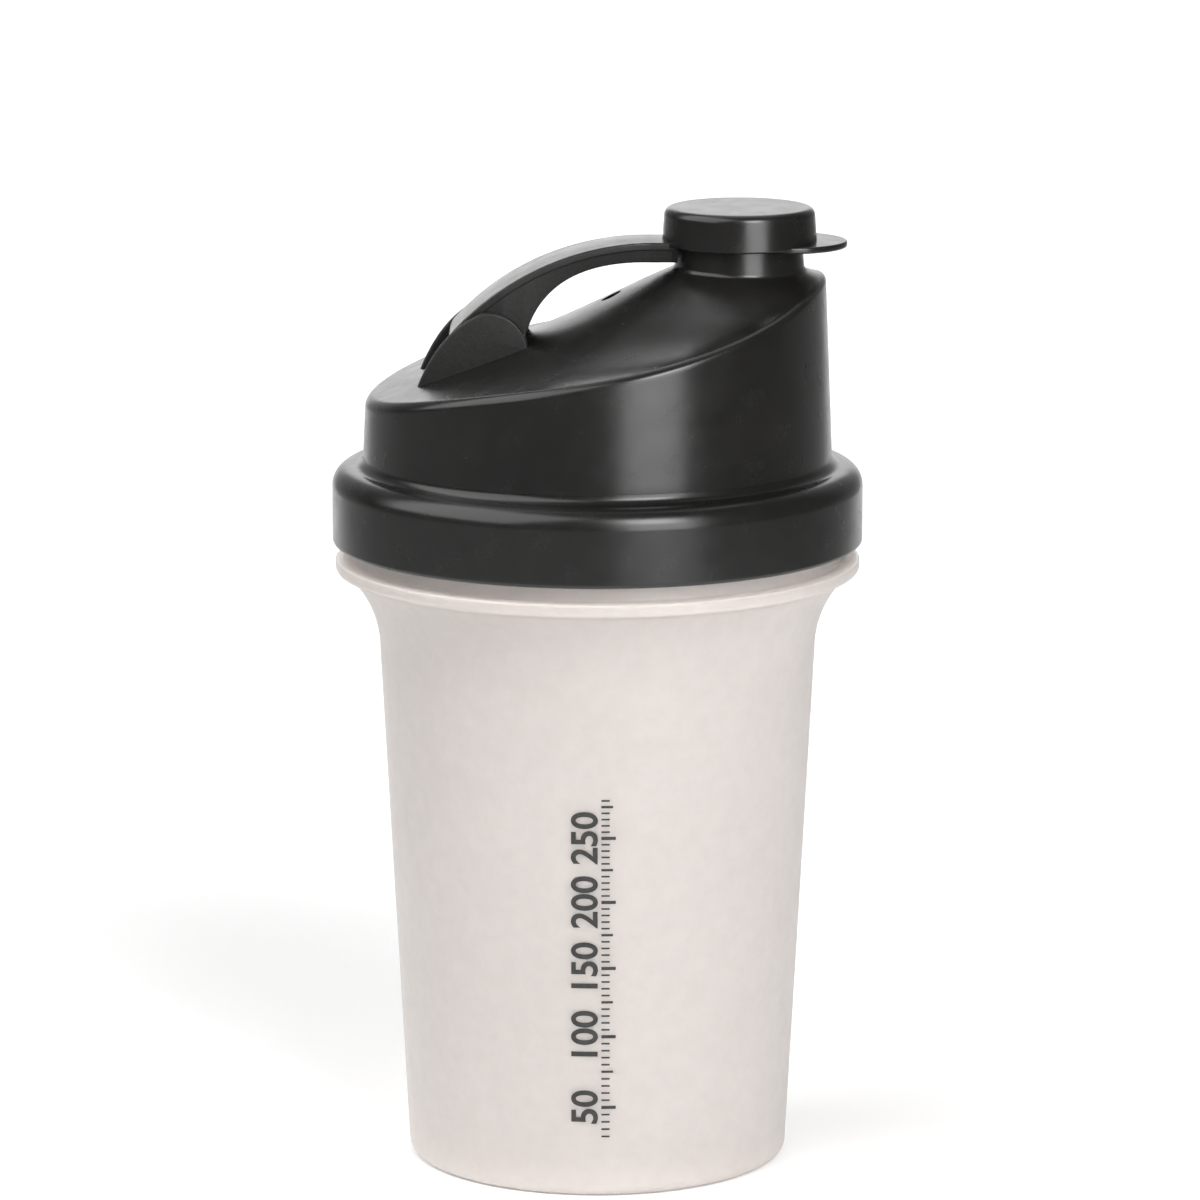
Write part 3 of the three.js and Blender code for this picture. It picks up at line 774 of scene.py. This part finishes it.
def arm_side(stations):
    """Height of the top, the plate's underside and the webs' underside at each x. The webs
    follow a quadratic curve to their foot and then a line to the barrel's bottom."""
    back = np.minimum(stations - arm_arch_x, 0)
    top = arch_centre[1] + np.sqrt(arch_radius**2 - back**2)
    plate = arch_centre[1] + np.sqrt((arch_radius - arm_plate) ** 2 - back**2)
    t = np.linspace(0, 1, 200)
    low = arm_top - arm_depth
    bend_z = low + arm_bend_rise
    curve_x = (1 - t) ** 2 * foot_x + 2 * t * (1 - t) * arm_bend_x + t**2 * arm_arch_x
    curve_z = (1 - t) ** 2 * foot_z + 2 * t * (1 - t) * bend_z + t**2 * low
    barrel_x = pivot_x + 1.0
    barrel_low = pivot_z - barrel_radius + 0.2
    x = np.concatenate([[pivot_x - barrel_radius, barrel_x], curve_x, [arm_joint_x]])
    z = np.concatenate([[pivot_z - 0.5, barrel_low], curve_z, [low]])
    return top, plate, np.minimum(np.interp(stations, x, z), plate - 0.3)


def arc_corner(y, z, radius, start, end):
    """A round corner of the section at (y, z): headings run from start to end in degrees,
    and the arc's centre is the corner moved back by the radius along both headings."""
    heading = np.radians(np.linspace(start, end, 6))
    back_y = radius * (np.cos(np.radians(start)) + np.cos(np.radians(end)))
    back_z = radius * (np.sin(np.radians(start)) + np.sin(np.radians(end)))
    round_y = y[:, None] - back_y + radius * np.cos(heading)
    round_z = z[:, None] - back_z + radius * np.sin(heading)
    return round_y, round_z


def arm_sections(stations):
    """The closed section at each station, as stations by points: a crowned top, then down
    the +y side of the U and up inside it, and the same mirrored for the -y side."""
    top, plate, low = arm_side(stations)
    share = np.clip((arm_arch_x - stations) / (arm_arch_x - arm_wide_x), 0, 1)
    half = arm_half_at_cap + (arm_half_at_hinge - arm_half_at_cap) * share
    web_out = half - arm_overhang
    web_in = web_out - arm_web
    corners = [
        arc_corner(half, top, 0.35, 90, 0),
        arc_corner(half, plate, 0.25, 0, -90),
        arc_corner(web_out, low, 0.35, 0, -90),
        arc_corner(web_in, low, 0.35, -90, -180),
        arc_corner(web_in, plate, -0.5, 0, -90),
    ]
    corners[4] = (corners[4][0][:, ::-1], corners[4][1][:, ::-1])
    y = np.concatenate([corner[0] for corner in corners], axis=1)
    z = np.concatenate([corner[1] for corner in corners], axis=1)
    crown_y = half[:, None] * np.linspace(-0.8, 0.8, 9)
    crown_z = top[:, None] + arm_crown * (1 - np.linspace(-1, 1, 9) ** 2)
    y = np.concatenate([crown_y, y, -y[:, ::-1]], axis=1)
    z = np.concatenate([crown_z, z, z[:, ::-1]], axis=1)
    x = np.broadcast_to(stations[:, None], y.shape)
    return np.stack([x, y, z], axis=-1)


# %% Flip cap put together
trunnion_radius = 1.7
trunnion_end = 10.2
arm_start_x = arch_centre[0] + arch_radius * math.cos(arch_end)
stations = np.concatenate([
    np.linspace(arm_start_x + 0.1, foot_x - 0.4, 60),
    np.linspace(foot_x, arm_arch_x, 90),
    np.linspace(arm_arch_x + 0.25, arm_joint_x, 14),
])
arm = end_to_end("arm", arm_sections(stations))
arm = combined(arm, turned("tab", tab_outline, centre_x=tab_x), "UNION")
spout_space = upright_cylinder(
    "spout_space", cap_inner + 0.02, spout_x, cap_bottom - 8, cap_ceiling - 1)
arm = combined(arm, spout_space, "DIFFERENCE")
flip_cap = combined(turned("cap_with_arm", cap_shell, 224, spout_x), arm, "UNION")
barrel = across_cylinder("barrel", barrel_radius, barrel_end, 0.4)
flip_cap = combined(flip_cap, barrel, "UNION")
trunnions = across_cylinder("trunnions", trunnion_radius, trunnion_end, 0.3)
flip_cap = combined(flip_cap, trunnions, "UNION")
finished(flip_cap, "flip_cap", "flip_cap")

# %% [markdown]
# ## Measuring scale
# The front of the cup carries a black print that reads up the side. Here it is a plain
# measuring scale: ticks, and numbers for the millilitres up to that line. A decal texture
# would slide on export, so the print is real ink, a thin skin bent on the wall. The height
# of each line comes from the volume of the cup's inside.

# %% Volume of the cup
def inside_radius(z):
    """Inner radius of the cup at a height, with the round corner at the floor."""
    corner = base_corner + wall
    up = np.clip(z - floor_z, 0, corner)
    cut = corner - np.sqrt(np.maximum(corner**2 - (corner - up) ** 2, 0))
    return body_radius(z) - wall - cut


level = np.linspace(floor_z, flare_start, 2000)
slab = math.pi * inside_radius(level) ** 2 * np.gradient(level)
held = np.cumsum(slab) / 1000  # millilitres up to each level


def level_of(volume):
    """Height of the liquid for a volume in millilitres."""
    return float(np.interp(volume, held, level))


print("lines at", [round(level_of(v), 1) for v in (50, 100, 150, 200, 250, 300)], "mm")

# %% Flat drawing of the scale
line_step = 5  # millilitres
first_line = 30
last_line = 280
number_step = 50
last_number = 250
number_size = 6.6
number_weight = 0.02  # extra outline, as a share of the size
number_foot_x = -0.1
tick_left = 0.7
tick_lengths = {50: 2.6, 25: 2.1, 5: 1.5}  # by what the volume is a multiple of
tick_half = {50: 0.30, 25: 0.22, 5: 0.16}


def flat_number(text, size):
    """Points and faces of a number as a flat fill, centred on its reading direction."""
    curve = bpy.data.curves.new("number", "FONT")
    curve.body = text
    curve.size = size
    curve.resolution_u = 5
    curve.offset = size * number_weight
    curve.align_x = "CENTER"
    holder = placed("number", curve)
    fill = as_seen(holder)
    points = listed(fill.vertices, "co")[:, :2]
    faces = [list(face.vertices) for face in fill.polygons]
    bpy.data.objects.remove(holder)
    bpy.data.meshes.remove(fill)
    return points, faces


def drawing():
    """All ticks and numbers in one flat drawing, x across and z up. A number is turned a
    quarter, so that its reading direction runs up the cup."""
    points = []
    faces = []
    for volume in range(first_line, last_line + 1, line_step):
        kind = next(step for step in tick_lengths if volume % step == 0)
        z = level_of(volume)
        x0, x1 = tick_left, tick_left + tick_lengths[kind]
        z0, z1 = z - tick_half[kind], z + tick_half[kind]
        faces.append([len(points) + k for k in range(4)])
        points += [(x0, z0), (x1, z0), (x1, z1), (x0, z1)]
    for volume in range(number_step, last_number + 1, number_step):
        flat, fill = flat_number(str(volume), number_size)
        faces += [[len(points) + k for k in face] for face in fill]
        upright = [number_foot_x - flat[:, 1], level_of(volume) + flat[:, 0]]
        points += np.stack(upright, axis=1).tolist()
    return np.array(points), faces


# %% Ink bent on the wall
strip = 0.8  # widest flat strip of ink, so that it follows the wall
ink_proud = 0.03
ink_depth = 0.05


def measuring_scale():
    """The flat drawing cut into strips, bent round the wall with angle = x / radius, and
    given a thin depth."""
    flat, faces = drawing()
    mesh = bpy.data.meshes.new("measuring_scale")
    mesh.from_pydata(np.stack([flat[:, 0], flat[:, 0] * 0, flat[:, 1]], axis=1).tolist(), [], faces)
    work = bmesh.new()
    work.from_mesh(mesh)
    for x in np.arange(flat[:, 0].min() + strip, flat[:, 0].max(), strip):
        everything = work.verts[:] + work.edges[:] + work.faces[:]
        bmesh.ops.bisect_plane(work, geom=everything, plane_co=(x, 0, 0), plane_no=(1, 0, 0))
    bmesh.ops.remove_doubles(work, verts=work.verts, dist=1e-4)
    bmesh.ops.recalc_face_normals(work, faces=work.faces)
    work.to_mesh(mesh)
    work.free()
    x, _, z = listed(mesh.vertices, "co").T
    radius = body_radius(z) + ink_proud
    turn = x / body_radius(z) - math.pi / 2
    bent = np.stack([radius * np.cos(turn), radius * np.sin(turn), z], axis=1) * mm
    mesh.vertices.foreach_set("co", bent.ravel())
    mesh.update()
    if listed(mesh.polygons, "normal")[:, 1].mean() > 0:
        mesh.flip_normals()
    made = placed("measuring_scale", mesh)
    skin = made.modifiers.new("depth", "SOLIDIFY")
    skin.thickness = ink_depth * mm
    skin.offset = -1
    made.data = as_seen(made)
    made.modifiers.clear()
    return made


scale = measuring_scale()
finished(scale, "cup")

# %% [markdown]
# ## Materials
# Four finishes: satin black polypropylene, the same plastic with a fine spark-eroded grain
# on the ears, the arm's sides and the strainer, frosted polypropylene, and printing ink. A
# flat colour would look like paper, so each one varies its roughness and carries a small
# bump. The patterns read Object coordinates in metres, so a noise scale of 1000 has lumps
# about a millimetre across.

# %% Material helpers


def plastic(name):
    """A material with one shader, its output, and Object coordinates."""
    made = bpy.data.materials.new(name)
    made.use_nodes = True
    tree = made.node_tree
    tree.nodes.clear()
    output = tree.nodes.new("ShaderNodeOutputMaterial")
    shader = tree.nodes.new("ShaderNodeBsdfPrincipled")
    place = tree.nodes.new("ShaderNodeTexCoord")
    tree.links.new(shader.outputs["BSDF"], output.inputs["Surface"])
    return made, tree, shader, place.outputs["Object"]


def noise(tree, place, scale, detail=2.0, roughness=0.5):
    """Noise at a scale in lumps per metre, as the node's output."""
    node = tree.nodes.new("ShaderNodeTexNoise")
    node.inputs["Scale"].default_value = scale
    node.inputs["Detail"].default_value = detail
    node.inputs["Roughness"].default_value = roughness
    tree.links.new(place, node.inputs["Vector"])
    return node.outputs["Fac"]


def mapped(tree, value, source, target):
    """A value carried from one span to another, and held at its ends."""
    node = tree.nodes.new("ShaderNodeMapRange")
    node.inputs["From Min"].default_value = source[0]
    node.inputs["From Max"].default_value = source[1]
    node.inputs["To Min"].default_value = target[0]
    node.inputs["To Max"].default_value = target[1]
    tree.links.new(value, node.inputs["Value"])
    return node.outputs["Result"]


def ranged(tree, value, low, high):
    """A value from 0.3 to 0.7, the usual span of noise, carried to low and high."""
    return mapped(tree, value, (0.3, 0.7), (low, high))


def computed(tree, operation, *values):
    """One step of arithmetic on values."""
    node = tree.nodes.new("ShaderNodeMath")
    node.operation = operation
    for value, socket in zip(values, node.inputs):
        tree.links.new(value, socket)
    return node.outputs["Value"]


def axes(tree, vector):
    """The X, Y and Z of a vector, each as an output."""
    node = tree.nodes.new("ShaderNodeSeparateXYZ")
    tree.links.new(vector, node.inputs["Vector"])
    return node.outputs


def blended(tree, value, dark, light):
    """A colour between two, by a value."""
    node = tree.nodes.new("ShaderNodeValToRGB")
    node.color_ramp.elements[0].position = 0.3
    node.color_ramp.elements[1].position = 0.7
    node.color_ramp.elements[0].color = (*dark, 1)
    node.color_ramp.elements[1].color = (*light, 1)
    tree.links.new(value, node.inputs["Fac"])
    return node.outputs["Color"]


def toned(tree, place, scale, detail, dark, light):
    """A colour that wanders between two with a noise."""
    return blended(tree, noise(tree, place, scale, detail), dark, light)


def roughened(tree, shader, place, scale, detail, low, high):
    """Roughness that wanders between two values with a noise."""
    value = ranged(tree, noise(tree, place, scale, detail), low, high)
    tree.links.new(value, shader.inputs["Roughness"])


def bumped(tree, shader, layers):
    """Bumps one after another: each layer is a height, a strength and a depth in metres."""
    normal = None
    for height, strength, depth in layers:
        node = tree.nodes.new("ShaderNodeBump")
        node.inputs["Strength"].default_value = strength
        node.inputs["Distance"].default_value = depth
        tree.links.new(height, node.inputs["Height"])
        if normal:
            tree.links.new(normal, node.inputs["Normal"])
        normal = node.outputs["Normal"]
    tree.links.new(normal, shader.inputs["Normal"])


# %% Finishes


def satin_black():
    """Moulded black plastic: a soft orange peel, patches that are a little duller, and a
    trace of fine grain."""
    made, tree, shader, place = plastic("satin_black")
    tone = toned(tree, place, 60, 3, (0.0065, 0.0063, 0.006), (0.0105, 0.010, 0.0095))
    tree.links.new(tone, shader.inputs["Base Color"])
    roughened(tree, shader, place, 240, 3, 0.23, 0.28)
    peel = noise(tree, place, 420, 2, 0.4)
    grain = noise(tree, place, 2600, 2)
    bumped(tree, shader, [(peel, 0.15, 0.00006), (grain, 0.2, 0.00002)])
    return made


def grained_black():
    """The same plastic with the mould's fine grain, which scatters the light."""
    made, tree, shader, place = plastic("grained_black")
    tone = toned(tree, place, 2600, 2, (0.007, 0.0068, 0.0065), (0.013, 0.0126, 0.012))
    tree.links.new(tone, shader.inputs["Base Color"])
    roughened(tree, shader, place, 1500, 2, 0.44, 0.56)
    shader.inputs["Specular IOR Level"].default_value = 0.36
    grain = noise(tree, place, 3600, 2, 0.6)
    bumped(tree, shader, [(grain, 0.55, 0.00006)])
    return made


def frosted():
    """Frosted plastic: light goes in, scatters and comes out a few millimetres away. The
    frost is a very fine bump, and the wall's thickness varies a little. From the flange's edge up
    the colour is a little darker, and the neck over the flange is painted lighter: painted light
    where the lid shades it."""
    made, tree, shader, place = plastic("frosted")
    tone = toned(tree, place, 28, 3, (0.525, 0.480, 0.454), (0.545, 0.500, 0.474))
    height = axes(tree, place)["Z"]
    # colour a little darker from the flange's lower edge up
    edge = mapped(tree, height, ((flange_low - 1) * mm, flange_low * mm), (1.0, 0.84))
    # painted light: the neck over the flange, in the lid's shade, is painted lighter
    neck = mapped(tree, height, ((flange_top - 0.3) * mm, flange_top * mm), (0.0, 0.36))
    uneven = ranged(tree, noise(tree, place, 330, 3, 0.6), -0.03, 0.03)
    shade = computed(tree, "ADD", computed(tree, "ADD", edge, neck), uneven)
    shaded = tree.nodes.new("ShaderNodeVectorMath")
    shaded.operation = "SCALE"
    tree.links.new(tone, shaded.inputs["Vector"])
    tree.links.new(shade, shaded.inputs["Scale"])
    tree.links.new(shaded.outputs["Vector"], shader.inputs["Base Color"])
    roughened(tree, shader, place, 500, 3, 0.44, 0.52)
    shader.inputs["Subsurface Weight"].default_value = 0.9
    shader.inputs["Subsurface Radius"].default_value = (1.0, 1.0, 1.0)
    shader.inputs["Subsurface Scale"].default_value = 0.008
    frost = noise(tree, place, 4200, 2, 0.6)
    flow = noise(tree, place, 90, 2, 0.5)
    bumped(tree, shader, [(flow, 0.2, 0.0001), (frost, 0.2, 0.00003)])
    return made


def ink():
    """Screen-printed black, a little uneven and half glossy."""
    made, tree, shader, place = plastic("ink")
    tone = toned(tree, place, 900, 3, (0.012, 0.012, 0.012), (0.028, 0.027, 0.026))
    tree.links.new(tone, shader.inputs["Base Color"])
    roughened(tree, shader, place, 1400, 2, 0.42, 0.60)
    bumped(tree, shader, [(noise(tree, place, 5200, 2), 0.3, 0.00002)])
    return made


# %% Finishes on the pieces
black = satin_black()
grained = grained_black()
near_face = 0.1  # mm, by which a face's middle may miss the ear's flat side
near_edge = 0.3  # and the edge of the ear or the arm's crowned top
over_dome = 0.15
upward = 0.35  # a face of the arm that looks up more than this stays satin


def painted(piece, materials, which=None):
    """Materials on a piece, and the number of the one on each face."""
    piece.data.materials.clear()
    for material in materials:
        piece.data.materials.append(material)
    if which is not None:
        piece.data.polygons.foreach_set("material_index", which.astype(np.int32))
        piece.data.update()


x, y, z = listed(lid.data.polygons, "center").T / mm
on_ears = (np.abs(y) > ear_inner - near_face) & (np.abs(y) < ear_outer + near_face)
on_ears &= x < ear_arc_centre[0] + ear_arc_radius + near_edge
on_ears &= z > dome_z(x, y) + over_dome
painted(lid, [black, grained], on_ears)
x, y, z = listed(flip_cap.data.polygons, "center").T / mm
on_arm = (x < spout_x - cap_inner) & (z < arm_top + near_edge)
on_arm &= listed(flip_cap.data.polygons, "normal")[:, 2] <= upward
painted(flip_cap, [black, grained], on_arm)
painted(cup, [frosted()])
painted(scale, [ink()])
painted(frame["nodes"]["strainer"], [grained])
print("grained faces", int(on_ears.sum()), "on the ears and", int(on_arm.sum()), "on the arm")

# %% [markdown]
# ## Studio
# A pale sweep runs from the floor up behind the cup, and glows a little close to it. A tall
# soft light stands at the front right, close enough to mirror down the whole wall of the
# dome, with a brighter core that draws a thin line on each round edge. A large light high
# on the left fills the cup's other side, too high for an upright wall to mirror it. The
# world is bright behind the cup and dim in front, which lights the outline of the lid and
# keeps its face dark. A ready-made sky would mirror in the black plastic and grey it.

# %% Sweep
sweep_half_width = 4.0
sweep_front = -4.0
sweep_back = 1.6
sweep_height = 3.0
sweep_bend = 0.8
sweep_sunk = 0.00005  # so that the foot ring and the paper don't share a plane


def floor_sweep():
    """One sheet: a floor, a quarter bend at the back, and a wall."""
    bend = np.linspace(0, math.pi / 2, 24)
    y = sweep_back - sweep_bend + sweep_bend * np.sin(bend)
    z = sweep_bend - sweep_bend * np.cos(bend)
    y = np.concatenate([[sweep_front], y, [sweep_back]])
    z = np.concatenate([[0.0], z, [sweep_height]]) - sweep_sunk
    x = np.array([-sweep_half_width, sweep_half_width])
    grid = np.stack(np.broadcast_arrays(x[None, :], y[:, None], z[:, None]), axis=-1)
    rows = len(y)
    index = np.arange(2 * rows).reshape(rows, 2)
    faces = np.stack([index[:-1, 0], index[:-1, 1], index[1:, 1], index[1:, 0]], axis=1)
    mesh = bpy.data.meshes.new("sweep")
    mesh.from_pydata(grid.reshape(-1, 3).tolist(), [], faces.tolist())
    mesh.polygons.foreach_set("use_smooth", np.ones(len(mesh.polygons), bool))
    return placed("sweep", mesh)


paper_sides = (0.24, 0.6)  # metres from the middle over which the painted light on the paper fades
paper_front = (-0.6, -0.12)
# painted shade: the paper's colour away from the cup
paper_painted_shade = (0.3, 0.3, 0.3)
paper_pale = (0.92, 0.92, 0.92)
paper_painted_glow = 0.13


def lit_paper():
    """Pale paper with painted light: near the cup it glows and stays pale, and away from it, to the
    sides and the front, the glow fades and the colour is painted darker, painted shade."""
    made, tree, shader, place = plastic("paper")
    spot = axes(tree, place)
    across = mapped(tree, computed(tree, "ABSOLUTE", spot["X"]), paper_sides, (1, 0))
    along = mapped(tree, spot["Y"], paper_front, (0, 1))
    # painted light near the cup, fading to the sides and the front
    painted_light_share = computed(tree, "MULTIPLY", across, along)
    tree.links.new(blended(tree, painted_light_share, paper_painted_shade, paper_pale), shader.inputs["Base Color"])
    # painted glow: the paper itself gives off light near the cup
    painted_glow_strength = mapped(tree, painted_light_share, (0, 1), (0, paper_painted_glow))
    tree.links.new(painted_glow_strength, shader.inputs["Emission Strength"])
    shader.inputs["Roughness"].default_value = 0.9
    shader.inputs["Specular IOR Level"].default_value = 0.1
    shader.inputs["Emission Color"].default_value = (1, 1, 1, 1)
    bumped(tree, shader, [(noise(tree, place, 900, 2), 0.2, 0.0001)])
    return made


sweep = floor_sweep()
painted(sweep, [lit_paper()])

# %% Lights


def soft_light(name, place, target, size, power):
    """A rectangular light that faces a point, size across and up in metres."""
    light = bpy.data.lights.new(name, "AREA")
    light.shape = "RECTANGLE"
    light.size, light.size_y = size
    light.energy = power
    made = placed(name, light)
    direction = Vector(target) - Vector(place)
    made.rotation_euler = direction.to_track_quat("-Z", "Y").to_euler()
    made.location = place


middle = (0, 0, 0.5 * cap_top * mm)
# name, place, target, size in metres, power in watts
for light in (
    ("tall_front_right", (0.255, -0.52, 0.41), (0, 0, 0.30), (0.33, 0.74), 4.2),
    ("core_front_right", (0.225, -0.48, 0.49), (0, 0, 0.13), (0.20, 0.24), 1.1),
    ("high_left", (-1.0, -0.35, 1.15), middle, (2.0, 1.6), 26),
    ("overhead", (0.0, 0.5, 1.6), middle, (1.4, 0.7), 2.5),
    ("backdrop", (0.0, 0.5, 1.2), (0, 1.6, 0.9), (2.4, 0.8), 20),
):
    soft_light(*light)

# %% World
sky_span = (0.3, 0.9)  # how far back a direction points, from dim to bright
sky_strength = (0.12, 1.0)

world = bpy.data.worlds.new("studio")
world.use_nodes = True
sky = world.node_tree
sky.nodes.clear()
sky_output = sky.nodes.new("ShaderNodeOutputWorld")
sky_light = sky.nodes.new("ShaderNodeBackground")
sky_place = sky.nodes.new("ShaderNodeTexCoord")
sky_light.inputs["Color"].default_value = (1.0, 0.985, 0.97, 1)
backwards = axes(sky, sky_place.outputs["Generated"])["Y"]
strength = mapped(sky, backwards, sky_span, sky_strength)
sky.links.new(strength, sky_light.inputs["Strength"])
sky.links.new(sky_light.outputs["Background"], sky_output.inputs["Surface"])
bpy.context.scene.world = world
bpy.context.scene.view_settings.view_transform = "Standard"
